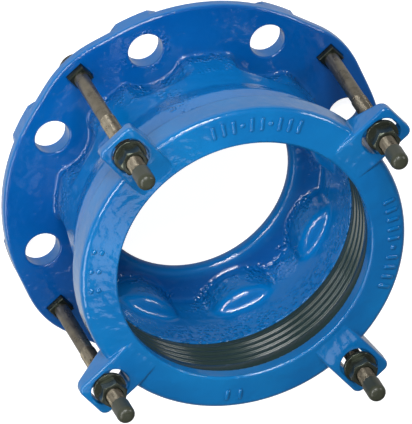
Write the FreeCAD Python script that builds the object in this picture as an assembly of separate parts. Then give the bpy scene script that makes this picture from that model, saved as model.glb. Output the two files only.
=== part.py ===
import FreeCAD, Part
import math
import os

# Universal flange adaptor for 150 mm pipe: a cast flange body, a clamp ring that
# slides on four bolts, and a rubber gasket that the ring squeezes onto the pipe.
# Z is the pipe axis, Z = 0 is the flange's joint face. Millimetres and degrees.

# Sizes that place everything round the pipe axis
hole_circle_radius = 120.0
hole_count = 8
bolt_count = 4
first_bolt_angle = 45.0

# Flange plate: a thin rim in front of a deeper middle
rim_thickness = 8.0
head_recess_depth = 5.0
hole_radius = 13.0
hole_edge_rounding = 0.8
pad_width = 13.0
rim_margin = 23.5
rim_front_rounding = 2.5
rim_back_rounding = 1.2
nose_margin = 13.5
nose_rounding = 73.0
raised_face_inset = 14.0
raised_face_rounding = 1.0

# Pockets that let the flange nuts turn, seen inside the neck as bulges
pocket_radius = 28.5
pocket_roof_rounding = 10.0
pocket_lip_rounding = 8.0
bulge_wall = 8.0
bulge_height = 29.7
bulge_edge_rounding = 8.0
bulge_blend = 6.0
roof_angle = 10.0

# Throat and floor
floor_land = 10.5
floor_rise = 2.0
floor_rounding = 4.0
throat_rounding = 5.4
throat_drop = 2.0

# Neck of the body, from the flange to the gasket socket
bore_inset = 23.5
neck_wall = 7.8
neck_foot_rounding = 3.0
neck_height = 47.0
flare_height = 20.0
flare_rounding = 14.0
socket_wall = 4.0
mouth_rounding = 2.0

# Gasket and the socket that holds it
gasket_thickness = 9.2
gasket_clearance = 0.3
socket_depth = 32.2
socket_taper = 2.5
seat_drop = 2.0
gasket_land = 10.4
rib_count = 4
rib_pitch = 7.0
rib_depth = 2.0
rib_crest_share = 0.55
rib_rounding = 0.7
gasket_top_rounding = 1.0
gasket_heel_step = 1.0

# Clamp ring
tightening_room = 10.8
ring_plate = 11.5
ring_face_fall = 3.3
ring_shoulder_rounding = 4.5
ring_lip_rounding = 1.6
opening_step = 1.5
skirt_gap = 3.2
skirt_wall = 6.0
skirt_lap = 1.7
skirt_end_rounding = 1.2
skirt_root_rounding = 3.0

# Lugs on the clamp ring, with their stepped slots
bolt_offset = 11.8
lug_width = 32.0
lug_end_margin = 4.5
lug_corner_rounding = 5.5
lug_stand = 1.0
lug_end_thickness = 7.5
lug_root_drop = 8.0
lug_fade_step = 2.0
lug_fade_length = 7.0
lug_fade_sink = 0.3
lug_fade_rounding = 60.0
lug_brow_rounding = 30.0
lug_level_margin = 3.5
lug_edge_rounding = 2.2
lug_root_rounding = 3.0
slot_inner_reach = 15.0
slot_outer_reach = 13.0
slot_play = 3.0
slot_corner_rounding = 5.0
recess_margin = 1.0
recess_rounding = 12.0
recess_depth = 1.5

# Clamp bolts, washers, nuts and thread caps
bolt_head_radius = 12.5
bolt_head_rounding = 1.6
bolt_head_clearance = 0.4
bolt_neck_width = 14.0
bolt_neck_stand = 4.4
bolt_neck_blend = 4.4
bolt_shank_radius = 5.4
bolt_thread_radius = 6.0
bolt_thread_length = 93.0
bolt_thread_runout = 0.6
bolt_end_chamfer = 1.2
bolt_spare = 28.2
neck_hole_clearance = 0.3
washer_radius = 12.0
washer_thickness = 3.0
washer_play = 0.3
washer_bore_play = 0.6
washer_rounding = 0.4
nut_width = 18.0
nut_height = 10.8
nut_clearance = 0.05
nut_corner_angle = 30.0
nut_face_inset = 0.2
nut_bore_chamfer = 0.7
nut_turns = [24.0, -6.0, 40.0, 7.0]
cap_wall = 0.7
cap_grip = 14.5
cap_roof = 3.0
cap_rounding = 5.0
cap_mouth_rounding = 0.3
cap_clearance = 0.03

# Radii that follow from the hole circle
bulge_radius = pocket_radius + bulge_wall
throat_radius = hole_circle_radius - bulge_radius - floor_land
bore_radius = hole_circle_radius - bore_inset
neck_radius = bore_radius + neck_wall
pad_radius = hole_radius + pad_width
raised_face_radius = hole_circle_radius - raised_face_inset
flange_radius = hole_circle_radius + rim_margin
seat_radius = bore_radius + gasket_thickness + gasket_clearance
mouth_radius = seat_radius + socket_taper + socket_wall
skirt_radius = mouth_radius + skirt_gap
ring_radius = skirt_radius + skirt_wall
ring_opening_radius = bore_radius - opening_step
bolt_circle_radius = ring_radius + bolt_offset
slot_start_radius = bolt_circle_radius - slot_inner_reach
slot_end_radius = bolt_circle_radius + slot_outer_reach
slot_width = 2 * (bolt_thread_radius + slot_play)
recess_width = 2 * (washer_radius + washer_play)
lug_reach = slot_end_radius + lug_end_margin
lug_level_radius = slot_start_radius - recess_margin - lug_level_margin
lug_fade_start_radius = ring_opening_radius + lug_fade_step
lug_fade_end_radius = lug_fade_start_radius + lug_fade_length

# Heights that follow from the flange's joint face up to the thread caps
rim_back_z = head_recess_depth
flange_front_z = rim_back_z + rim_thickness
throat_top_z = flange_front_z - throat_drop
floor_edge_z = flange_front_z + floor_rise
bulge_edge_z = flange_front_z + bulge_height
flare_start_z = flange_front_z + neck_height
flare_end_z = flare_start_z + flare_height
seat_z = flare_end_z - seat_drop
mouth_z = seat_z + socket_depth
skirt_end_z = mouth_z - skirt_lap
ring_back_z = mouth_z + tightening_room
ring_front_z = ring_back_z + ring_plate
ring_shoulder_z = ring_front_z - ring_face_fall
gasket_top_z = ring_back_z - gasket_clearance
lug_front_z = ring_front_z + lug_stand
lug_root_z = ring_back_z - lug_root_drop
washer_seat_z = lug_front_z - recess_depth
nut_seat_z = washer_seat_z + washer_thickness
nut_top_z = nut_seat_z + nut_height
bolt_end_z = nut_top_z + bolt_spare
bolt_thread_start_z = bolt_end_z - bolt_thread_length
bolt_neck_end_z = flange_front_z + bolt_neck_stand
cap_start_z = bolt_end_z - cap_grip

# How near an edge must lie to a surface to count as lying on it
edge_tolerance = 0.4
bore_edge_tolerance = 0.6
level_tolerance = 0.01
same_point = 1e-6

# How far a cutting tool runs out past the face it cuts
overrun = 1.0

axis = FreeCAD.Vector(0, 0, 1)
origin = FreeCAD.Vector(0, 0, 0)


def turned_place(radius, height):
    return FreeCAD.Vector(radius, 0, height)


def level_place(height):
    return lambda x, y: FreeCAD.Vector(x, y, height)


# A flat face from corners (a, b, rounding), each corner rounded by its own radius
def rounded_face(corners, place):
    flat = [FreeCAD.Vector(a, b, 0) for a, b, rounding in corners]
    bends = []
    for index, (a, b, rounding) in enumerate(corners):
        here = flat[index]
        if rounding == 0:
            bends.append((here, here, here))
            continue
        back = (flat[index - 1] - here).normalize()
        ahead = (flat[(index + 1) % len(flat)] - here).normalize()
        half = back.getAngle(ahead) / 2
        inward = (back + ahead).normalize()
        reach = rounding / math.tan(half)
        middle = here + inward * (rounding / math.sin(half) - rounding)
        bends.append((here + back * reach, middle, here + ahead * reach))
    edges = []
    for index, (start, middle, end) in enumerate(bends):
        following = bends[(index + 1) % len(bends)][0]
        if start.distanceToPoint(end) > same_point:
            places = [place(p.x, p.y) for p in (start, middle, end)]
            edges.append(Part.Arc(*places).toShape())
        if end.distanceToPoint(following) > same_point:
            edges.append(Part.makeLine(place(end.x, end.y), place(following.x, following.y)))
    return Part.Face(Part.Wire(edges))


# A body of revolution round Z from (radius, height, rounding) corners
def turned(corners):
    return rounded_face(corners, turned_place).revolve(origin, axis, 360)


# A flat plate between two heights from (x, y, rounding) corners
def plate(corners, bottom, top):
    return rounded_face(corners, level_place(bottom)).extrude(axis * (top - bottom))


def turn_about_axis(shape, angle):
    copy = shape.copy()
    copy.rotate(origin, axis, angle)
    return copy


# Copies of a shape drawn along +X, moved out to a radius and spread round the axis
def spread(shape, count, first_angle, radius=0.0):
    moved = shape.copy()
    moved.translate(FreeCAD.Vector(radius, 0, 0))
    return [turn_about_axis(moved, first_angle + 360 * n / count) for n in range(count)]


def polar(radius, angle, height):
    turn = math.radians(angle)
    return FreeCAD.Vector(radius * math.cos(turn), radius * math.sin(turn), height)


def bolt_angles():
    return [first_bolt_angle + 360 * n / bolt_count for n in range(bolt_count)]


def first_hole_angle():
    return first_bolt_angle - 180 / hole_count


# The plate's outline: a circle with a blunt tangent nose at each clamp bolt
def flange_outline():
    nose_centre = bolt_circle_radius + nose_margin - nose_rounding
    lean = math.degrees(math.acos((flange_radius - nose_rounding) / nose_centre))
    height = rim_back_z
    edges = []
    for angle in bolt_angles():
        centre = polar(nose_centre, angle, height)
        first = polar(flange_radius, angle - lean, height)
        last = polar(flange_radius, angle + lean, height)
        nose_first = centre + polar(nose_rounding, angle - lean, 0)
        nose_tip = centre + polar(nose_rounding, angle, 0)
        nose_last = centre + polar(nose_rounding, angle + lean, 0)
        next_angle = angle + 360 / bolt_count
        between = polar(flange_radius, (angle + next_angle) / 2, height)
        following = polar(flange_radius, next_angle - lean, height)
        edges.append(Part.makeLine(first, nose_first))
        edges.append(Part.Arc(nose_first, nose_tip, nose_last).toShape())
        edges.append(Part.makeLine(nose_last, last))
        edges.append(Part.Arc(last, between, following).toShape())
    return Part.Face(Part.Wire(edges))


def rim_plate():
    slab = flange_outline().extrude(axis * rim_thickness)
    front = [edge for edge in slab.Edges if edge.BoundBox.ZMin > flange_front_z - level_tolerance]
    slab = slab.makeFillet(rim_front_rounding, front)
    back = [edge for edge in slab.Edges if edge.BoundBox.ZMax < rim_back_z + level_tolerance]
    return slab.makeFillet(rim_back_rounding, back)


# The floor rises from the throat to the bore, and meets the flange's front level here
def floor_radius():
    slope = (bore_radius - throat_radius) / (floor_edge_z - throat_top_z)
    return throat_radius + (flange_front_z - throat_top_z) * slope


# Throat, raised joint face and the middle of the plate
def flange_centre():
    return turned([
        (throat_radius, 0, throat_rounding),
        (throat_radius, throat_top_z, throat_rounding),
        (floor_radius(), flange_front_z, 0),
        (hole_circle_radius, flange_front_z, 0),
        (hole_circle_radius, rim_back_z, 0),
        (raised_face_radius, rim_back_z, 0),
        (raised_face_radius, 0, raised_face_rounding),
    ])


# Floor, neck and gasket socket, rooted in the middle of the plate
def neck_section():
    root_z = rim_back_z + rim_thickness / 2
    root_radius = (throat_radius + floor_radius()) / 2
    return turned([
        (root_radius, root_z, 0),
        (root_radius, (throat_top_z + flange_front_z) / 2, 0),
        (bore_radius, floor_edge_z, floor_rounding),
        (bore_radius, seat_z, 0),
        (seat_radius, seat_z, 0),
        (seat_radius + socket_taper, mouth_z, 0),
        (mouth_radius, mouth_z, mouth_rounding),
        (mouth_radius, flare_end_z, flare_rounding),
        (neck_radius, flare_start_z, flare_rounding),
        (neck_radius, root_z, 0),
    ])


# The pocket and the bulge are both turned round the flange hole's own axis
def bulge():
    rise = bulge_radius * math.tan(math.radians(roof_angle))
    return turned([
        (0, rim_back_z, 0),
        (bulge_radius, rim_back_z, 0),
        (bulge_radius, bulge_edge_z, bulge_edge_rounding),
        (0, bulge_edge_z + rise, 0),
    ])


def pocket():
    slope = math.tan(math.radians(roof_angle))
    drop = bulge_wall / math.cos(math.radians(roof_angle))
    edge_z = bulge_edge_z + bulge_wall * slope - drop
    return turned([
        (0, 0, 0),
        (pocket_radius, 0, 0),
        (pocket_radius, edge_z, pocket_roof_rounding),
        (0, edge_z + pocket_radius * slope, 0),
    ])


def middle_of(edge):
    return edge.valueAt((edge.FirstParameter + edge.LastParameter) / 2)


def from_axis(point):
    return math.hypot(point.x, point.y)


def from_hole(point):
    angles = [first_hole_angle() + 360 * n / hole_count for n in range(hole_count)]
    holes = [polar(hole_circle_radius, angle, point.z) for angle in angles]
    return min(point.distanceToPoint(hole) for hole in holes)


# Rounds each edge whose middle point passes the test
def rounded_where(shape, rounding, test):
    return shape.makeFillet(rounding, [edge for edge in shape.Edges if test(middle_of(edge))])


def on_pocket_lip(point):
    on_neck = abs(from_axis(point) - neck_radius) < edge_tolerance
    above_plate = flange_front_z < point.z < flare_start_z
    return on_neck and above_plate and from_hole(point) < pocket_radius + edge_tolerance


def on_neck_foot(point):
    on_plate = abs(point.z - flange_front_z) < level_tolerance
    outside = from_axis(point) > hole_circle_radius - pocket_radius - edge_tolerance
    return on_plate and outside and from_axis(point) < neck_radius + edge_tolerance


def on_bulge_foot(point):
    at_bulge = from_hole(point) < bulge_radius + edge_tolerance
    on_bore = abs(from_axis(point) - bore_radius) < bore_edge_tolerance
    on_floor = at_bulge and from_hole(point) > bulge_radius - edge_tolerance
    on_floor = on_floor and from_axis(point) < bore_radius and point.z < floor_edge_z
    return on_floor or (on_bore and at_bulge and floor_edge_z < point.z < flare_start_z)


# A drill with softly rounded mouths at both faces of the flange
def flange_hole():
    mouth = hole_radius + hole_edge_rounding
    front = flange_front_z
    return turned([
        (0, -overrun, 0),
        (mouth, -overrun, 0),
        (mouth, 0, 0),
        (hole_radius, hole_edge_rounding, 0),
        (hole_radius, front - hole_edge_rounding, 0),
        (mouth, front, 0),
        (mouth, front + overrun, 0),
        (0, front + overrun, 0),
    ])


def bolt_square(width, bottom, top):
    half = width / 2
    corners = [(half, -half, 0), (half, half, 0), (-half, half, 0), (-half, -half, 0)]
    return plate(corners, bottom, top)


# The neck's wall follows the pockets, and their lips are rounded before it is rooted
def scalloped_neck():
    inside = Part.makeCylinder((bore_radius + neck_radius) / 2, seat_z)
    bulges = [copy.common(inside) for copy in at_holes(bulge())]
    neck = neck_section().multiFuse(bulges)
    neck = neck.cut(at_holes(pocket())).removeSplitter()
    return rounded_where(neck, pocket_lip_rounding, on_pocket_lip)


def at_holes(shape):
    return spread(shape, hole_count, first_hole_angle(), hole_circle_radius)


def flange_plate():
    middle = Part.makeCylinder(bore_radius, flange_front_z)
    outline = flange_outline()
    outline.translate(axis * -rim_back_z)
    pad_height = rim_back_z + rim_thickness / 2
    pad_blank = outline.extrude(axis * pad_height)
    pad = Part.makeCylinder(pad_radius, pad_height)
    pads = [copy.common(pad_blank) for copy in at_holes(pad)]
    return flange_centre().multiFuse([rim_plate().cut(middle)] + pads)


def flange_body():
    solid = flange_plate().fuse(scalloped_neck()).removeSplitter()
    solid = rounded_where(solid, neck_foot_rounding, on_neck_foot)
    solid = rounded_where(solid, bulge_blend, on_bulge_foot)
    solid = solid.cut(at_holes(flange_hole()))
    width = bolt_neck_width + 2 * neck_hole_clearance
    square = bolt_square(width, -overrun, flange_front_z + overrun)
    return solid.cut(spread(square, bolt_count, first_bolt_angle, bolt_circle_radius))


def ring_section():
    return turned([
        (ring_opening_radius, ring_back_z, ring_lip_rounding),
        (ring_opening_radius, ring_front_z, ring_lip_rounding),
        (ring_radius, ring_shoulder_z, ring_shoulder_rounding),
        (ring_radius, skirt_end_z, skirt_end_rounding),
        (skirt_radius, skirt_end_z, skirt_end_rounding),
        (skirt_radius, ring_back_z, skirt_root_rounding),
    ])


# The ring's front face is a shallow cone
def ring_face_z(radius):
    slope = ring_face_fall / (ring_radius - ring_opening_radius)
    return ring_front_z - (radius - ring_opening_radius) * slope


def on_lug_front(point):
    beside_or_end = abs(point.y) > edge_tolerance or point.x > lug_reach - edge_tolerance
    return point.z > lug_front_z - lug_end_thickness / 3 and beside_or_end


# A lug: its side view cut to its rounded plan, before the slot. Its front rises
# gently out of the ring's face.
def lug():
    half = lug_width / 2
    side = rounded_face([
        (lug_fade_start_radius, ring_back_z, 0),
        (lug_fade_start_radius, ring_face_z(lug_fade_start_radius) - lug_fade_sink, 0),
        (lug_fade_end_radius, ring_face_z(lug_fade_end_radius) + lug_fade_sink, lug_fade_rounding),
        (lug_level_radius, lug_front_z, lug_brow_rounding),
        (lug_reach, lug_front_z, 0),
        (lug_reach, lug_front_z - lug_end_thickness, lug_edge_rounding),
        (ring_radius, lug_root_z, lug_root_rounding),
        (ring_radius - skirt_wall / 2, lug_root_z, 0),
        (ring_radius - skirt_wall / 2, ring_back_z, 0),
    ], turned_place)
    side.translate(FreeCAD.Vector(0, -lug_width, 0))
    block = side.extrude(FreeCAD.Vector(0, 2 * lug_width, 0))
    plan = plate([
        (ring_opening_radius, -half, 0),
        (lug_reach, -half, lug_corner_rounding),
        (lug_reach, half, lug_corner_rounding),
        (ring_opening_radius, half, 0),
    ], skirt_end_z, lug_front_z + overrun)
    return rounded_where(block.common(plan), lug_edge_rounding, on_lug_front)


def slot_cut(start, end, width, rounding, bottom, top):
    half = width / 2
    return plate([
        (start, -half, rounding),
        (end, -half, rounding),
        (end, half, rounding),
        (start, half, rounding),
    ], bottom, top)


def clamp_ring():
    solid = ring_section().multiFuse(spread(lug(), bolt_count, first_bolt_angle))
    slot = slot_cut(slot_start_radius, slot_end_radius, slot_width,
                    slot_corner_rounding, skirt_end_z, lug_front_z + overrun)
    recess = slot_cut(slot_start_radius - recess_margin, slot_end_radius + recess_margin,
                      recess_width, recess_rounding, washer_seat_z,
                      lug_front_z + overrun)
    cutter = slot.fuse(recess)
    solid = solid.cut(spread(cutter, bolt_count, first_bolt_angle))
    return solid.removeSplitter()


# The gasket faces the pipe with a plain land and then ribs, and its heel stands
# on the socket's seat
def gasket():
    outer = seat_radius - gasket_clearance
    groove = bore_radius + rib_depth
    crest = rib_pitch * rib_crest_share
    corners = [
        (outer, seat_z, 0),
        (outer, gasket_top_z, gasket_top_rounding),
        (bore_radius, gasket_top_z, rib_rounding),
    ]
    for n in range(rib_count):
        groove_top = gasket_top_z - gasket_land - n * rib_pitch
        rib_bottom = groove_top - rib_pitch
        corners.append((bore_radius, groove_top, rib_rounding))
        corners.append((groove, groove_top - rib_rounding, rib_rounding))
        corners.append((groove, rib_bottom + crest + rib_rounding, rib_rounding))
        corners.append((bore_radius, rib_bottom + crest, rib_rounding))
    corners.append((bore_radius, rib_bottom, rib_rounding))
    corners.append((bore_radius + gasket_heel_step, seat_z, 0))
    return turned(corners)


def bolt():
    seat = rim_back_z
    head = turned([
        (0, bolt_head_clearance, 0),
        (bolt_head_radius, bolt_head_clearance, bolt_head_rounding),
        (bolt_head_radius, seat, 0),
        (0, seat, 0),
    ])
    neck_blank = bolt_square(bolt_neck_width, seat, bolt_neck_end_z)
    shoulder = turned([
        (0, seat, 0),
        (bolt_neck_width, seat, 0),
        (bolt_neck_width, bolt_neck_end_z - bolt_neck_blend, 0),
        (bolt_neck_width / 2, bolt_neck_end_z, 0),
        (0, bolt_neck_end_z, 0),
    ])
    shank = turned([
        (0, seat, 0),
        (bolt_shank_radius, seat, 0),
        (bolt_shank_radius, bolt_thread_start_z - bolt_thread_runout, 0),
        (bolt_thread_radius, bolt_thread_start_z, 0),
        (bolt_thread_radius, bolt_end_z - bolt_end_chamfer, 0),
        (bolt_thread_radius - bolt_end_chamfer, bolt_end_z, 0),
        (0, bolt_end_z, 0),
    ])
    return head.multiFuse([neck_blank.common(shoulder), shank]).removeSplitter()


def washer():
    bore = bolt_thread_radius + washer_bore_play
    return turned([
        (bore, washer_seat_z, 0),
        (washer_radius, washer_seat_z, washer_rounding),
        (washer_radius, nut_seat_z, washer_rounding),
        (bore, nut_seat_z, washer_rounding),
    ])


# A hexagon nut with both ends of its corners turned off
def nut():
    corner_radius = nut_width / math.sqrt(3)
    corners = [(corner_radius * math.cos(math.radians(60 * n)),
                corner_radius * math.sin(math.radians(60 * n)), 0) for n in range(6)]
    bore = bolt_thread_radius + nut_clearance
    blank = plate(corners, nut_seat_z, nut_top_z)
    face_radius = nut_width / 2 - nut_face_inset
    drop = (corner_radius - face_radius) * math.tan(math.radians(nut_corner_angle))
    rounded = turned([
        (bore + nut_bore_chamfer, nut_seat_z, 0),
        (face_radius, nut_seat_z, 0),
        (corner_radius, nut_seat_z + drop, 0),
        (corner_radius, nut_top_z - drop, 0),
        (face_radius, nut_top_z, 0),
        (bore + nut_bore_chamfer, nut_top_z, 0),
        (bore, nut_top_z - nut_bore_chamfer, 0),
        (bore, nut_seat_z + nut_bore_chamfer, 0),
    ])
    return blank.common(rounded)


def thread_cap():
    bore = bolt_thread_radius + cap_clearance
    outer = bore + cap_wall
    top = bolt_end_z + cap_roof
    inner_top = bolt_end_z + cap_clearance
    return turned([
        (0, inner_top, 0),
        (bore - bolt_end_chamfer, inner_top, 0),
        (bore, inner_top - bolt_end_chamfer, 0),
        (bore, cap_start_z, 0),
        (outer, cap_start_z, cap_mouth_rounding),
        (outer, top, cap_rounding),
        (0, top, 0),
    ])


def save(name, shape):
    solids = shape.Solids
    if len(solids) != 1 or not shape.isValid():
        raise ValueError(name + " is not one valid solid")
    solids[0].exportStep("parts/" + name + ".step")


# A fastener drawn on Z goes to its bolt, turned on its own axis first
def on_bolt(shape, number, own_turn):
    copy = turn_about_axis(shape, own_turn)
    copy.translate(FreeCAD.Vector(bolt_circle_radius, 0, 0))
    return turn_about_axis(copy, bolt_angles()[number])


os.makedirs("parts", exist_ok=True)
save("flange_body", flange_body())
save("clamp_ring", clamp_ring())
save("gasket", gasket())
for name, shape in [("clamp_bolt", bolt()), ("washer", washer()), ("thread_cap", thread_cap())]:
    for number in range(bolt_count):
        save(name + "_" + str(number + 1), on_bolt(shape, number, 0))
for number in range(bolt_count):
    own_turn = nut_turns[number % len(nut_turns)]
    save("nut_" + str(number + 1), on_bolt(nut(), number, own_turn))
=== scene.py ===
import bmesh
import bpy
import math
from mathutils import Matrix, Vector


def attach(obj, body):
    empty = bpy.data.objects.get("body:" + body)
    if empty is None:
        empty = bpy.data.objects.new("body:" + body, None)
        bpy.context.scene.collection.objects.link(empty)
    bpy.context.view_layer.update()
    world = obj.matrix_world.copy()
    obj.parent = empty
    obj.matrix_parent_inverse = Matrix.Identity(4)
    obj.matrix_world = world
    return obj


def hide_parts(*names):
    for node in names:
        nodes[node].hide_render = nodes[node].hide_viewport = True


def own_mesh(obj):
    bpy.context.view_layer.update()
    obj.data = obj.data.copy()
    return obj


# Universal flange adaptor, dressed for its portrait: blue coated castings, dark plated bolts, black rubber.
# The frame is in metres. The pipe axis is Z, and the flange stands on its joint face at Z = 0.
# Sizes in the dictionaries are in millimetres and angles in degrees, unless a note says otherwise.

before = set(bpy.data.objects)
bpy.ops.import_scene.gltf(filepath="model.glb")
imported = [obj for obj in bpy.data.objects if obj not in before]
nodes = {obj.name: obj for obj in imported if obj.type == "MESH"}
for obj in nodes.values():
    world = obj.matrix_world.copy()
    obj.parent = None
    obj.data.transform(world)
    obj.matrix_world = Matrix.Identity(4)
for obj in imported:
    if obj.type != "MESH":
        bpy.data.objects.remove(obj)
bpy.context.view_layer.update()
mm = 0.001
mergeGap = 0.01 * mm
boltAngles = {1: 45.0, 2: 135.0, 3: 225.0, 4: 315.0}
boltCircle = 133.5
flangeFront = 13.0
sealBottom = 78.0
print("frame loaded with", len(nodes), "nodes")


# sRGB hex to the linear colour that Blender works in
def hexColour(code):
    values = []
    for place in (0, 2, 4):
        part = int(code.lstrip("#")[place:place + 2], 16) / 255
        values.append(part / 12.92 if part <= 0.04045 else ((part + 0.055) / 1.055) ** 2.4)
    return (*values, 1.0)


# Settings go to the inputs or properties of that name. A node given as a link stands for its first output.
def addNode(tree, kind, settings=None, links=None):
    node = tree.nodes.new(kind)
    for name, value in (settings or {}).items():
        if isinstance(name, int) or name in node.inputs:
            node.inputs[name].default_value = value
        else:
            setattr(node, name, value)
    for name, source in (links or {}).items():
        if isinstance(source, bpy.types.Node):
            source = source.outputs[0]
        tree.links.new(source, node.inputs[name])
    return node


def newMaterial(name):
    material = bpy.data.materials.new(name)
    material.use_nodes = True
    tree = material.node_tree
    tree.nodes.clear()
    return material, tree


def dress(piece, material):
    piece.data.materials.clear()
    piece.data.materials.append(material)
    for face in piece.data.polygons:
        face.material_index = 0


def pieceFrom(mesh, name, body, material, smooth):
    bmesh.ops.remove_doubles(mesh, verts=mesh.verts, dist=mergeGap)
    bmesh.ops.recalc_face_normals(mesh, faces=mesh.faces)
    data = bpy.data.meshes.new(name)
    mesh.to_mesh(data)
    mesh.free()
    piece = bpy.data.objects.new(name, data)
    bpy.context.scene.collection.objects.link(piece)
    data.materials.append(material)
    data.set_sharp_from_angle(angle=math.radians(smooth))
    for face in data.polygons:
        face.use_smooth = True
    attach(piece, body)
    return piece


def polar(radius, angle, height=0.0):
    turn = math.radians(angle)
    return Vector((radius * math.cos(turn), radius * math.sin(turn), height)) * mm


# The camera stands at the photograph's angle. Its place and clipping are in metres.
cameraSettings = {
    "lens": 1274.62,
    "sensor": 36.0,
    "near": 0.05,
    "far": 60.0,
    "location": (-3.17191, 4.95534, 8.71058),
    "turn": (-29.8116, -17.5937, 4.7635),
}


def makeCamera(settings):
    data = bpy.data.cameras.new("photoCamera")
    data.lens = settings["lens"]
    data.sensor_width = settings["sensor"]
    data.sensor_fit = "HORIZONTAL"
    data.clip_start = settings["near"]
    data.clip_end = settings["far"]
    camera = bpy.data.objects.new("photoCamera", data)
    bpy.context.scene.collection.objects.link(camera)
    camera.location = settings["location"]
    camera.rotation_euler = [math.radians(angle) for angle in settings["turn"]]
    bpy.context.scene.camera = camera


# Sizes and distances in the studio are in metres.
studio = {
    "worldStrength": 0.12,
    "floorSize": 9.0,
    "floorDrop": 0.0003,  # just under the flange, so that the two never share a plane
    "floorColour": "#BCBDBF",
    "floorGlow": 0.9,  # for the camera
    "floorShine": 0.04,  # for reflections, on top of the light that the floor gets
    "aimHeight": 0.07,
    "lamps": {
        "keySoftbox": {
            "azimuth": 106, "height": 40, "distance": 1.5,
            "size": (0.62, 0.26), "watts": 17, "colour": "#FFFFFF",
        },
        "frontSoftbox": {
            "azimuth": 112, "height": 60, "distance": 1.5,
            "size": (0.6, 0.3), "watts": 3, "colour": "#FFFFFF",
        },
        "leftSoftbox": {
            "azimuth": 161, "height": 41, "distance": 0.85,
            "size": (0.55, 0.12), "watts": 4.6, "colour": "#FFFFFF",
        },
        "rightSoftbox": {
            "azimuth": 37, "height": 30, "distance": 1.6,
            "size": (0.45, 0.16), "watts": 6, "colour": "#FFFFFF",
        },
        "topSheen": {
            "azimuth": 285, "height": 66, "distance": 1.6,
            "size": (0.38, 0.38), "watts": 0.8, "colour": "#F2F4FF",
        },
        "leftFill": {
            "azimuth": 212, "height": 36, "distance": 1.1,
            "size": (0.6, 0.4), "watts": 4.2, "colour": "#FFFDF6",
        },
    },
}


def makeWorld(settings):
    world = bpy.data.worlds.new("studioWorld")
    world.use_nodes = True
    tree = world.node_tree
    tree.nodes.clear()
    output = addNode(tree, "ShaderNodeOutputWorld")
    white = {"Color": (1, 1, 1, 1), "Strength": settings["worldStrength"]}
    background = addNode(tree, "ShaderNodeBackground", white)
    tree.links.new(background.outputs[0], output.inputs["Surface"])
    bpy.context.scene.world = world


# Paper that looks white to the camera, shows faintly in gloss, and takes the object's shadow
def studioPaper(settings):
    material, tree = newMaterial("paperSweep")
    rays = addNode(tree, "ShaderNodeLightPath").outputs
    mirrored = addNode(
        tree, "ShaderNodeMath", {"operation": "MAXIMUM"},
        {0: rays["Is Glossy Ray"], 1: rays["Is Transmission Ray"]})
    shine = addNode(
        tree, "ShaderNodeMath", {"operation": "MULTIPLY", 1: settings["floorShine"]}, {0: mirrored})
    glow = addNode(
        tree, "ShaderNodeMath", {"operation": "MULTIPLY_ADD", 1: settings["floorGlow"]},
        {0: rays["Is Camera Ray"], 2: shine})
    paper = addNode(tree, "ShaderNodeBsdfDiffuse", {"Color": hexColour(settings["floorColour"])})
    light = addNode(tree, "ShaderNodeEmission", {"Color": (1, 1, 1, 1)}, {"Strength": glow})
    both = addNode(tree, "ShaderNodeAddShader", {}, {0: paper, 1: light})
    addNode(tree, "ShaderNodeOutputMaterial", {}, {"Surface": both})
    return material


def makeFloor(settings):
    mesh = bmesh.new()
    bmesh.ops.create_grid(mesh, x_segments=1, y_segments=1, size=settings["floorSize"] / 2)
    data = bpy.data.meshes.new("studioFloor")
    mesh.to_mesh(data)
    mesh.free()
    floor = bpy.data.objects.new("studioFloor", data)
    bpy.context.scene.collection.objects.link(floor)
    floor.location.z = -settings["floorDrop"]
    data.materials.append(studioPaper(settings))


def makeLamps(settings):
    aim = Vector((0, 0, settings["aimHeight"]))
    for name, lamp in settings["lamps"].items():
        data = bpy.data.lights.new(name, "AREA")
        data.shape = "RECTANGLE"
        data.size, data.size_y = lamp["size"]
        data.energy = lamp["watts"]
        data.color = hexColour(lamp["colour"])[:3]
        light = bpy.data.objects.new(name, data)
        rise = math.radians(lamp["height"])
        turn = math.radians(lamp["azimuth"])
        way = Vector((math.cos(turn) * math.cos(rise), math.sin(turn) * math.cos(rise), math.sin(rise)))
        light.location = aim + way * lamp["distance"]
        light.rotation_euler = (-way).to_track_quat("-Z", "Y").to_euler()
        bpy.context.scene.collection.objects.link(light)


bpy.context.scene.view_settings.view_transform = "Standard"
makeCamera(cameraSettings)
makeWorld(studio)
makeFloor(studio)
makeLamps(studio)
print("camera and studio ready")


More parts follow.
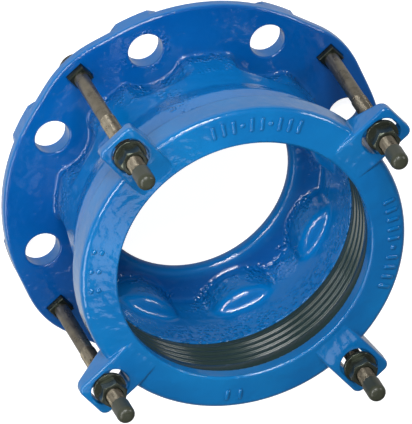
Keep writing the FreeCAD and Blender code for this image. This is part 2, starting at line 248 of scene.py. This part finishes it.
# Fusion-bonded epoxy powder on sand-cast ductile iron: a wet-looking glossy skin. It keeps the sand's
# grain underneath, and where the powder lay thick it dried in pimples that sparkle in the light.
# Each range says at what height, distance or noise a patch of the coat begins, and where it is full.
epoxyFinish = {
    "bodyDeep": "#004487",
    "bodyLight": "#0066A9",
    "ringDeep": "#005793",
    "ringLight": "#0567A3",
    "toneSize": 70.0,
    "toneRange": {"From Min": 0.35, "From Max": 0.68},
    "toneShare": 0.3,  # how much of the body's tone is cloudy, the other 0.7 goes by height as painted light and shade
    # Painted light: the body above and below its front face is coloured lighter, leaving the face in a
    # painted shade
    "paintedLightAbove": {"From Min": (flangeFront + 0.2) * mm, "From Max": (flangeFront + 11) * mm, "To Max": 0.7},
    "paintedLightBelow": {"From Min": (flangeFront - 0.4) * mm, "From Max": (flangeFront - 1.6) * mm, "To Max": 0.7},
    "swellSize": 9.0,
    "swellDepth": 0.55,
    "peelSize": 2.8,
    "peelDepth": 0.09,
    "sandSize": 1.3,
    "sandDepth": 0.03,
    "pimpleSize": 3.2,
    "pimpleDepth": 0.8,
    "pimpleDome": {"interpolation_type": "SMOOTHSTEP", "From Min": 0.6, "From Max": 0.12},
    "footRange": {"From Min": (flangeFront + 0.2) * mm, "From Max": (flangeFront + 1.2) * mm},
    "neckRange": {"From Min": (flangeFront + 30) * mm, "From Max": (flangeFront + 14) * mm},
    "frontRange": {"From Min": (flangeFront - 0.9) * mm, "From Max": (flangeFront - 0.3) * mm},
    "thickHole": 112.5,  # the angle of that hole
    "holeCircle": 120.0,
    "holeRange": {"From Min": 20.0 * mm, "From Max": 15.0 * mm},
    "patchSize": 17.0,
    "patchRange": {"From Min": 0.38, "From Max": 0.52},
    "boreRange": {"From Min": 101.0 * mm, "From Max": 99.0 * mm},
    "sealRange": {"From Min": (sealBottom - 28) * mm, "From Max": (sealBottom - 10) * mm},
    "scuff": "#6B5344",
    "scuffAngles": (135, 225),
    "scuffRange": {"From Min": 13.6 * mm, "From Max": 12.2 * mm},
    "chipSize": 2.6,
    "chipRange": {"From Min": 0.5, "From Max": 0.56},
    "edge": 1.6,
    "ior": 1.5,
    "roughness": 0.3,
    "specular": 0.12,
    "coatRoughness": 0.035,
}


# How far a point stands from an upright line at this angle and radius
def awayFrom(tree, spot, radius, angle):
    line = {"operation": "SUBTRACT", 1: polar(radius, angle)}
    apart = addNode(tree, "ShaderNodeVectorMath", line, {0: spot})
    flat = addNode(tree, "ShaderNodeVectorMath", {"operation": "MULTIPLY", 1: (1, 1, 0)}, {0: apart})
    return addNode(tree, "ShaderNodeVectorMath", {"operation": "LENGTH"}, {0: flat}).outputs["Value"]


# Where the powder lay thick on the body: below the gasket, in patches at the neck's foot and round one hole
def thickPowder(tree, spot, settings):
    height = addNode(tree, "ShaderNodeSeparateXYZ", {}, {0: spot}).outputs["Z"]
    rise = addNode(tree, "ShaderNodeMapRange", settings["footRange"], {"Value": height})
    fade = addNode(tree, "ShaderNodeMapRange", settings["neckRange"], {"Value": height})
    foot = addNode(tree, "ShaderNodeMath", {"operation": "MULTIPLY"}, {0: rise, 1: fade})
    hole = awayFrom(tree, spot, settings["holeCircle"], settings["thickHole"])
    nearHole = addNode(tree, "ShaderNodeMapRange", settings["holeRange"], {"Value": hole})
    onFront = addNode(tree, "ShaderNodeMapRange", settings["frontRange"], {"Value": height})
    nearHole = addNode(tree, "ShaderNodeMath", {"operation": "MULTIPLY"}, {0: nearHole, 1: onFront})
    both = addNode(tree, "ShaderNodeMath", {"operation": "MAXIMUM"}, {0: foot, 1: nearHole})
    patch = addNode(
        tree, "ShaderNodeTexNoise",
        {"Scale": 1 / (settings["patchSize"] * mm), "Detail": 1.0}, {"Vector": spot})
    patch = addNode(tree, "ShaderNodeMapRange", settings["patchRange"], {"Value": patch})
    patched = addNode(tree, "ShaderNodeMath", {"operation": "MULTIPLY"}, {0: both, 1: patch})
    bore = awayFrom(tree, spot, 0.0, 0.0)
    within = addNode(tree, "ShaderNodeMapRange", settings["boreRange"], {"Value": bore})
    below = addNode(tree, "ShaderNodeMapRange", settings["sealRange"], {"Value": height})
    inside = addNode(tree, "ShaderNodeMath", {"operation": "MULTIPLY"}, {0: within, 1: below})
    return addNode(tree, "ShaderNodeMath", {"operation": "MAXIMUM"}, {0: patched, 1: inside})


# A cloudy blue. On the body it is also painted by height: the front face deeper as painted shade, the neck,
# bore and edges lighter as painted light.
def coatTone(tree, spot, kind, settings):
    tone = addNode(
        tree, "ShaderNodeTexNoise",
        {"Scale": 1 / (settings["toneSize"] * mm), "Detail": 2.0}, {"Vector": spot})
    tone = addNode(tree, "ShaderNodeMapRange", settings["toneRange"], {"Value": tone})
    if kind == "body":
        # painted light by height on the body, with painted shade left on the front face
        height = addNode(tree, "ShaderNodeSeparateXYZ", {}, {0: spot}).outputs["Z"]
        above = addNode(tree, "ShaderNodeMapRange", settings["paintedLightAbove"], {"Value": height})
        below = addNode(tree, "ShaderNodeMapRange", settings["paintedLightBelow"], {"Value": height})
        paintedLitShare = addNode(tree, "ShaderNodeMath", {"operation": "MAXIMUM"}, {0: above, 1: below})
        share = {"operation": "MULTIPLY_ADD", 1: settings["toneShare"]}
        tone = addNode(tree, "ShaderNodeMath", share, {0: tone, 2: paintedLitShare})
    deep = hexColour(settings[kind + "Deep"])
    light = hexColour(settings[kind + "Light"])
    blues = {"data_type": "RGBA", 6: deep, 7: light}
    return addNode(tree, "ShaderNodeMix", blues, {"Factor": tone}).outputs[2]


# The washer has rubbed the coat brown along the edge of its recess
def scuffed(tree, spot, paint, angle, settings):
    near = awayFrom(tree, spot, boltCircle, angle)
    band = addNode(tree, "ShaderNodeMapRange", settings["scuffRange"], {"Value": near})
    chips = addNode(
        tree, "ShaderNodeTexNoise",
        {"Scale": 1 / (settings["chipSize"] * mm), "Detail": 4.0}, {"Vector": spot})
    chips = addNode(tree, "ShaderNodeMapRange", settings["chipRange"], {"Value": chips})
    mask = addNode(tree, "ShaderNodeMath", {"operation": "MULTIPLY"}, {0: band, 1: chips})
    brown = {"data_type": "RGBA", 7: hexColour(settings["scuff"])}
    return addNode(tree, "ShaderNodeMix", brown, {"Factor": mask, 6: paint}).outputs[2]


# The skin's relief, from the soft edges of the casting down to the grain of the sand, then the pimples
def coatSkin(tree, spot, kind, settings):
    swell = addNode(
        tree, "ShaderNodeTexNoise",
        {"Scale": 1 / (settings["swellSize"] * mm), "Detail": 1.0}, {"Vector": spot})
    peel = addNode(
        tree, "ShaderNodeTexNoise",
        {"Scale": 1 / (settings["peelSize"] * mm), "Detail": 2.0, "Roughness": 0.5}, {"Vector": spot})
    sand = addNode(
        tree, "ShaderNodeTexNoise",
        {"Scale": 1 / (settings["sandSize"] * mm), "Detail": 3.0, "Roughness": 0.6}, {"Vector": spot})
    skin = addNode(tree, "ShaderNodeBevel", {"samples": 6, "Radius": settings["edge"] * mm})
    layers = [(swell, "swellDepth"), (sand, "sandDepth"), (peel, "peelDepth")]
    if kind == "body":
        dots = addNode(
            tree, "ShaderNodeTexVoronoi", {"Scale": 1 / (settings["pimpleSize"] * mm)}, {"Vector": spot})
        domes = addNode(tree, "ShaderNodeMapRange", settings["pimpleDome"], {"Value": dots})
        thick = thickPowder(tree, spot, settings)
        lumps = addNode(tree, "ShaderNodeMath", {"operation": "MULTIPLY"}, {0: domes, 1: thick})
        layers.append((lumps, "pimpleDepth"))
    for relief, depth in layers:
        skin = addNode(
            tree, "ShaderNodeBump", {"Strength": 1.0, "Distance": settings[depth] * mm},
            {"Height": relief, "Normal": skin})
    return skin


def epoxyOnIron(name, kind, settings, scuffAngles=()):
    material, tree = newMaterial(name)
    spot = addNode(tree, "ShaderNodeTexCoord").outputs["Object"]
    paint = coatTone(tree, spot, kind, settings)
    for angle in scuffAngles:
        paint = scuffed(tree, spot, paint, angle, settings)
    skin = coatSkin(tree, spot, kind, settings)
    shader = addNode(tree, "ShaderNodeBsdfPrincipled", {
        "IOR": settings["ior"], "Roughness": settings["roughness"],
        "Specular IOR Level": settings["specular"],
        "Coat Weight": 1.0, "Coat Roughness": settings["coatRoughness"],
    }, {"Base Color": paint, "Normal": skin, "Coat Normal": skin})
    addNode(tree, "ShaderNodeOutputMaterial", {}, {"Surface": shader})
    return material


# Zinc-flake plating on steel, browned by its sealer: a satin bronze on the bolts, nearly black on the nuts.
platedFinish = {
    "boltDark": "#4A463D",
    "boltWarm": "#857D6D",
    "boltRoughness": 0.27,
    "nutDark": "#2C312A",
    "nutWarm": "#666C60",
    "nutRoughness": 0.2,
    "metallic": 0.8,
    "glossier": 0.05,
    "duller": 0.09,
    "grain": 6.0,
    "pits": 0.6,
    "pitDepth": 0.015,
    "edge": 0.5,
    "neckRange": {"From Min": 17.5 * mm, "From Max": 18.7 * mm},
}


def platedSteel(name, kind, settings):
    material, tree = newMaterial(name)
    spot = addNode(tree, "ShaderNodeTexCoord").outputs["Object"]
    cloud = addNode(
        tree, "ShaderNodeTexNoise",
        {"Scale": 1 / (settings["grain"] * mm), "Detail": 2.0}, {"Vector": spot})
    dark = hexColour(settings[kind + "Dark"])
    warm = hexColour(settings[kind + "Warm"])
    browns = {"data_type": "RGBA", 6: dark, 7: warm}
    paint = addNode(tree, "ShaderNodeMix", browns, {"Factor": cloud}).outputs[2]
    if kind == "bolt":  # below the top of its square neck the bolt is coloured nearly black
        height = addNode(tree, "ShaderNodeSeparateXYZ", {}, {0: spot}).outputs["Z"]
        above = addNode(tree, "ShaderNodeMapRange", settings["neckRange"], {"Value": height})
        seal = {"data_type": "RGBA", 6: hexColour(settings["nutDark"])}
        paint = addNode(tree, "ShaderNodeMix", seal, {"Factor": above, 7: paint}).outputs[2]
    pits = addNode(
        tree, "ShaderNodeTexNoise",
        {"Scale": 1 / (settings["pits"] * mm), "Detail": 2.0}, {"Vector": spot})
    edge = addNode(tree, "ShaderNodeBevel", {"samples": 4, "Radius": settings["edge"] * mm})
    bump = addNode(
        tree, "ShaderNodeBump", {"Strength": 0.5, "Distance": settings["pitDepth"] * mm},
        {"Height": pits, "Normal": edge})
    gloss = settings[kind + "Roughness"]
    rough = addNode(
        tree, "ShaderNodeMapRange",
        {"To Min": gloss - settings["glossier"], "To Max": gloss + settings["duller"]}, {"Value": cloud})
    shader = addNode(
        tree, "ShaderNodeBsdfPrincipled", {"Metallic": settings["metallic"]},
        {"Base Color": paint, "Roughness": rough, "Normal": bump})
    addNode(tree, "ShaderNodeOutputMaterial", {}, {"Surface": shader})
    return material


# Moulded polyethylene caps, dark olive grey and slightly glossy.
capFinish = {
    "colour": "#32352B",
    "ior": 1.51,
    "roughness": 0.32,
    "specular": 0.3,
    "flowSize": 2.5,
    "flowDepth": 0.04,
}


def mouldedPolyethylene(name, settings):
    material, tree = newMaterial(name)
    spot = addNode(tree, "ShaderNodeTexCoord").outputs["Object"]
    flow = addNode(
        tree, "ShaderNodeTexNoise",
        {"Scale": 1 / (settings["flowSize"] * mm), "Detail": 2.0}, {"Vector": spot})
    bump = addNode(
        tree, "ShaderNodeBump", {"Strength": 0.5, "Distance": settings["flowDepth"] * mm}, {"Height": flow})
    shader = addNode(tree, "ShaderNodeBsdfPrincipled", {
        "Base Color": hexColour(settings["colour"]), "IOR": settings["ior"],
        "Roughness": settings["roughness"], "Specular IOR Level": settings["specular"],
    }, {"Normal": bump})
    addNode(tree, "ShaderNodeOutputMaterial", {}, {"Surface": shader})
    return material


# Moulded EPDM rubber: dark grey with a green cast, a waxy sheen on the rib crests.
rubberFinish = {
    "dark": "#1A2929",
    "pale": "#253634",
    "ior": 1.52,
    "roughness": 0.2,
    "specular": 0.4,
    "bloomSize": 22.0,
    "grainSize": 0.9,
    "grainDepth": 0.03,
}


def mouldedRubber(name, settings):
    material, tree = newMaterial(name)
    spot = addNode(tree, "ShaderNodeTexCoord").outputs["Object"]
    bloom = addNode(
        tree, "ShaderNodeTexNoise",
        {"Scale": 1 / (settings["bloomSize"] * mm), "Detail": 3.0}, {"Vector": spot})
    greys = {"data_type": "RGBA", 6: hexColour(settings["dark"]), 7: hexColour(settings["pale"])}
    mixed = addNode(tree, "ShaderNodeMix", greys, {"Factor": bloom}).outputs[2]
    grain = addNode(
        tree, "ShaderNodeTexNoise",
        {"Scale": 1 / (settings["grainSize"] * mm), "Detail": 2.0}, {"Vector": spot})
    bump = addNode(
        tree, "ShaderNodeBump", {"Strength": 0.4, "Distance": settings["grainDepth"] * mm}, {"Height": grain})
    shader = addNode(tree, "ShaderNodeBsdfPrincipled", {
        "IOR": settings["ior"], "Roughness": settings["roughness"],
        "Specular IOR Level": settings["specular"],
    }, {"Base Color": mixed, "Normal": bump})
    addNode(tree, "ShaderNodeOutputMaterial", {}, {"Surface": shader})
    return material


bodyCoat = epoxyOnIron("epoxyCoatedIronBody", "body", epoxyFinish)
ringCoat = epoxyOnIron("epoxyCoatedIronRing", "ring", epoxyFinish, epoxyFinish["scuffAngles"])
boltPlating = platedSteel("zincFlakeSteelBronze", "bolt", platedFinish)
nutPlating = platedSteel("zincFlakeSteelDark", "nut", platedFinish)
capPlastic = mouldedPolyethylene("mouldedPolyethylene", capFinish)
sealRubber = mouldedRubber("mouldedEpdmRubber", rubberFinish)

dress(nodes["flange_body"], bodyCoat)
dress(nodes["clamp_ring"], ringCoat)
for number in boltAngles:
    dress(nodes[f"washer_{number}"], nutPlating)
    dress(nodes[f"nut_{number}"], nutPlating)
    dress(nodes[f"thread_cap_{number}"], capPlastic)
print("finishes on the castings and fasteners")


# Clamp bolts with their real threads. Heights are from the flange's joint face.
boltSizes = {
    "circle": boltCircle,
    "headRadius": 12.5,
    "headBottom": 0.4,
    "headTop": 5.0,
    "headEdge": 1.4,
    "headBreak": 0.3,  # where the head's edge bends, as a share of that edge
    "neckWidth": 14.0,
    "neckTop": 17.4,
    "neckCorner": 0.9,
    "neckTopEdge": 1.6,
    "shankRadius": 5.4,
    "threadRadius": 6.0,
    "threadDepth": 1.0,
    "threadStart": 81.0,
    "runout": 1.2,
    "pitch": 1.75,
    "flanks": (0.22, 0.54, 0.68),  # root's end, crest's start and crest's end, as shares of the pitch
    "end": 174.0,
    "endEdge": 0.6,
    "stepsAround": 48,
    "stepsPerTurn": 24,
    "smooth": 30.0,
}


def turnedShape(mesh, corners, steps):
    line = [mesh.verts.new((radius * mm, 0, height * mm)) for radius, height in corners]
    edges = [mesh.edges.new(pair) for pair in zip(line, line[1:])]
    bmesh.ops.spin(
        mesh, geom=line + edges, cent=(0, 0, 0), axis=(0, 0, 1), angle=math.tau, steps=steps, use_merge=True)


def headAndShank(mesh, sizes):
    shank = sizes["shankRadius"]
    root = sizes["threadRadius"] - sizes["threadDepth"]
    head = sizes["headRadius"]
    edge = sizes["headEdge"]
    bend = edge * sizes["headBreak"]
    turnedShape(mesh, [
        (0, sizes["headBottom"]),
        (head - edge, sizes["headBottom"]),
        (head - bend, sizes["headBottom"] + bend),
        (head, sizes["headBottom"] + edge),
        (head, sizes["headTop"]),
        (shank, sizes["headTop"]),
        (shank, sizes["threadStart"] - sizes["runout"]),
        (root, sizes["threadStart"]),
        (root, sizes["end"]),
        (0, sizes["end"]),
    ], sizes["stepsAround"])


def squareNeck(mesh, sizes):
    width = sizes["neckWidth"] * mm
    bottom = sizes["headTop"] * mm
    tall = sizes["neckTop"] * mm - bottom
    neck = bmesh.ops.create_cube(mesh, size=1.0)["verts"]
    bmesh.ops.scale(mesh, vec=(width, width, tall), verts=neck)
    bmesh.ops.translate(mesh, vec=(0, 0, bottom + tall / 2), verts=neck)
    top = [corner for corner in neck if corner.co.z > bottom + tall / 2]
    rim = [edge for edge in mesh.edges if edge.verts[0] in top and edge.verts[1] in top]
    bmesh.ops.bevel(
        mesh, geom=rim, offset=sizes["neckTopEdge"] * mm,
        segments=3, profile=0.5, affect="EDGES", material=-1)
    upright = []
    for edge in mesh.edges:
        foot, head = (corner.co for corner in edge.verts)
        outside = min(abs(foot.x), abs(foot.y)) > sizes["shankRadius"] * mm
        if outside and abs(head.z - foot.z) > tall / 2:
            upright.append(edge)
    bmesh.ops.bevel(
        mesh, geom=upright, offset=sizes["neckCorner"] * mm,
        segments=3, profile=0.5, affect="EDGES", material=-1)


# The thread's profile is spun up the bolt as a helix, then cut level and closed at both ends
def threadTurns(sizes):
    thread = bmesh.new()
    pitch = sizes["pitch"]
    low = sizes["threadStart"] - pitch
    crest = sizes["threadRadius"]
    root = crest - sizes["threadDepth"]
    rootEnd, crestStart, crestEnd = (share * pitch for share in sizes["flanks"])
    profile = [(root, 0), (root, rootEnd), (crest, crestStart), (crest, crestEnd), (root, pitch)]
    line = [thread.verts.new((radius * mm, 0, (low + rise) * mm)) for radius, rise in profile]
    edges = [thread.edges.new(pair) for pair in zip(line, line[1:])]
    turns = math.ceil((sizes["end"] - low) / pitch) + 1
    rise = pitch * mm / sizes["stepsPerTurn"]
    bmesh.ops.spin(
        thread, geom=line + edges, cent=(0, 0, 0), axis=(0, 0, 1), dvec=(0, 0, rise),
        angle=math.tau * turns, steps=turns * sizes["stepsPerTurn"], use_merge=False)
    bmesh.ops.remove_doubles(thread, verts=thread.verts, dist=mergeGap)
    for height, way in ((sizes["threadStart"], -1), (sizes["end"] - sizes["endEdge"], 1)):
        everything = thread.verts[:] + thread.edges[:] + thread.faces[:]
        cut = bmesh.ops.bisect_plane(
            thread, geom=everything, plane_co=(0, 0, height * mm), plane_no=(0, 0, way), clear_outer=True)
        rim = [edge for edge in cut["geom_cut"] if isinstance(edge, bmesh.types.BMEdge)]
        bmesh.ops.contextual_create(thread, geom=rim)
    data = bpy.data.meshes.new("threadTurns")
    thread.to_mesh(data)
    thread.free()
    return data


def threadedBolt(number, angle, sizes):
    mesh = bmesh.new()
    headAndShank(mesh, sizes)
    squareNeck(mesh, sizes)
    turns = threadTurns(sizes)
    mesh.from_mesh(turns)
    bpy.data.meshes.remove(turns)
    place = Matrix.Translation(polar(sizes["circle"], angle)) @ Matrix.Rotation(math.radians(angle), 4, "Z")
    bmesh.ops.transform(mesh, matrix=place, verts=mesh.verts)
    bolt = pieceFrom(mesh, f"threadedBolt_{number}", "body", boltPlating, sizes["smooth"])
    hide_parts(f"clamp_bolt_{number}")


for number, angle in boltAngles.items():
    threadedBolt(number, angle, boltSizes)
print("bolts threaded")


# The gasket: a plain land above four ribs with rounded crests. Crest and groove are radii.
gasketSizes = {
    "bottom": sealBottom,
    "top": 120.7,
    "outer": 105.7,
    "outerEdge": 1.0,
    "crest": 96.5,
    "groove": 98.6,
    "mouthEdge": 1.5,
    "mouthBreak": 0.45,
    "land": 10.4,
    "landEdge": ((0.0, 0.9), (0.25, 0.3)),  # outwards, and up from the land's end
    "ribs": 4,
    "pitch": 7.0,
    "crestShare": 0.55,
    "valley": ((-0.3, 0.1), (0.0, 0.3), (0.0, 0.75)),  # outwards, and the share of the valley's height down
    "ribCurve": ((0.0, 0.62), (0.06, 0.36), (0.16, 0.15), (0.3, 0.04), (0.5, 0.0)),  # half a crest, as shares
    "heelStep": 1.0,
    "heelHeight": 3.2,
    "steps": 192,
    "squeeze": 0.72,
    "smooth": 50.0,
}


def gasketOutline(sizes):
    crest = sizes["crest"]
    groove = sizes["groove"]
    outer = sizes["outer"]
    top = sizes["top"]
    corners = [(outer, sizes["bottom"]), (outer, top - sizes["outerEdge"]), (outer - sizes["outerEdge"], top)]
    corners.append((crest + sizes["mouthEdge"], top))
    corners.append((crest + sizes["mouthBreak"], top - sizes["mouthBreak"]))
    corners.append((crest, top - sizes["mouthEdge"]))
    landEnd = top - sizes["land"]
    corners += [(crest + outwards, landEnd + up) for outwards, up in sizes["landEdge"]]
    halfCrest = list(sizes["ribCurve"])
    wholeCrest = halfCrest + [(1 - share, lift) for share, lift in reversed(halfCrest[:-1])]
    wide = sizes["pitch"] * sizes["crestShare"]
    deep = sizes["pitch"] - wide
    for rib in range(sizes["ribs"]):
        valleyTop = landEnd - rib * sizes["pitch"]
        ribTop = valleyTop - deep
        corners += [(groove + outwards, valleyTop - share * deep) for outwards, share in sizes["valley"]]
        corners += [(crest + (groove - crest) * lift, ribTop - share * wide) for share, lift in wholeCrest]
    heel = crest + sizes["heelStep"]
    corners += [(heel, sizes["bottom"] + sizes["heelHeight"]), (heel, sizes["bottom"]), corners[0]]
    return corners


def ribbedGasket(sizes):
    mesh = bmesh.new()
    turnedShape(mesh, gasketOutline(sizes), sizes["steps"])
    seal = pieceFrom(mesh, "ribbedGasket", "body", sealRubber, sizes["smooth"])
    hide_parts("gasket")
    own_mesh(seal)


ribbedGasket(gasketSizes)
print("gasket ribbed")


# Plain raised bars and studs on the ring's front face, which falls outwards as a shallow cone.
markSizes = {
    "height": 1.4,
    "sink": 0.6,
    "width": 2.6,
    "edge": 0.7,
    "stud": 4.0,
    "studFlatness": 0.6,
    "faceTop": 132.5,
    "faceStart": 95.0,
    "faceFall": 3.3,
    "faceEnd": 121.7,
    "barRows": [  # angles, radius of the middle, length
        ((73, 77, 81, 88, 92, 99, 103, 107), 110, 10),
        ((344, 348, 352, 356, 4, 8, 12, 16, 20), 112, 9),
        ((268, 273), 110, 8),
    ],
    "studRows": [  # angles, radius
        ((84.5, 95.5), 110),
        ((172, 180, 188), 109),
        ((172, 180, 188), 114.5),
        ((0,), 112),
    ],
    "smooth": 40.0,
}


def faceHeight(radius, sizes):
    slope = sizes["faceFall"] / (sizes["faceEnd"] - sizes["faceStart"])
    return sizes["faceTop"] - (radius - sizes["faceStart"]) * slope


def addBar(mesh, radius, angle, length, sizes):
    tall = sizes["height"] + sizes["sink"]
    bar = bmesh.ops.create_cube(mesh, size=1.0)["verts"]
    bmesh.ops.scale(mesh, vec=(length * mm, sizes["width"] * mm, tall * mm), verts=bar)
    edges = {edge for corner in bar for edge in corner.link_edges}
    made = bmesh.ops.bevel(
        mesh, geom=list(edges), offset=sizes["edge"] * mm,
        segments=3, profile=0.5, affect="EDGES", material=-1)
    bar = set(made["verts"]) | {corner for corner in bar if corner.is_valid}
    tilt = math.atan(sizes["faceFall"] / (sizes["faceEnd"] - sizes["faceStart"]))
    middle = faceHeight(radius, sizes) + (sizes["height"] - sizes["sink"]) / 2
    turn = Matrix.Rotation(math.radians(angle), 4, "Z") @ Matrix.Rotation(tilt, 4, "Y")
    place = Matrix.Translation(polar(radius, angle, middle)) @ turn
    bmesh.ops.transform(mesh, matrix=place, verts=list(bar))


def addStud(mesh, radius, angle, sizes):
    stud = bmesh.ops.create_icosphere(mesh, subdivisions=3, radius=sizes["stud"] / 2 * mm)["verts"]
    bmesh.ops.scale(mesh, vec=(1, 1, sizes["studFlatness"]), verts=stud)
    bmesh.ops.translate(mesh, vec=polar(radius, angle, faceHeight(radius, sizes)), verts=stud)


def castMarks(sizes):
    mesh = bmesh.new()
    for angles, radius, length in sizes["barRows"]:
        for angle in angles:
            addBar(mesh, radius, angle, length, sizes)
    for angles, radius in sizes["studRows"]:
        for angle in angles:
            addStud(mesh, radius, angle, sizes)
    pieceFrom(mesh, "castMarks", "ring", ringCoat, sizes["smooth"])


castMarks(markSizes)
print("cast marks placed")
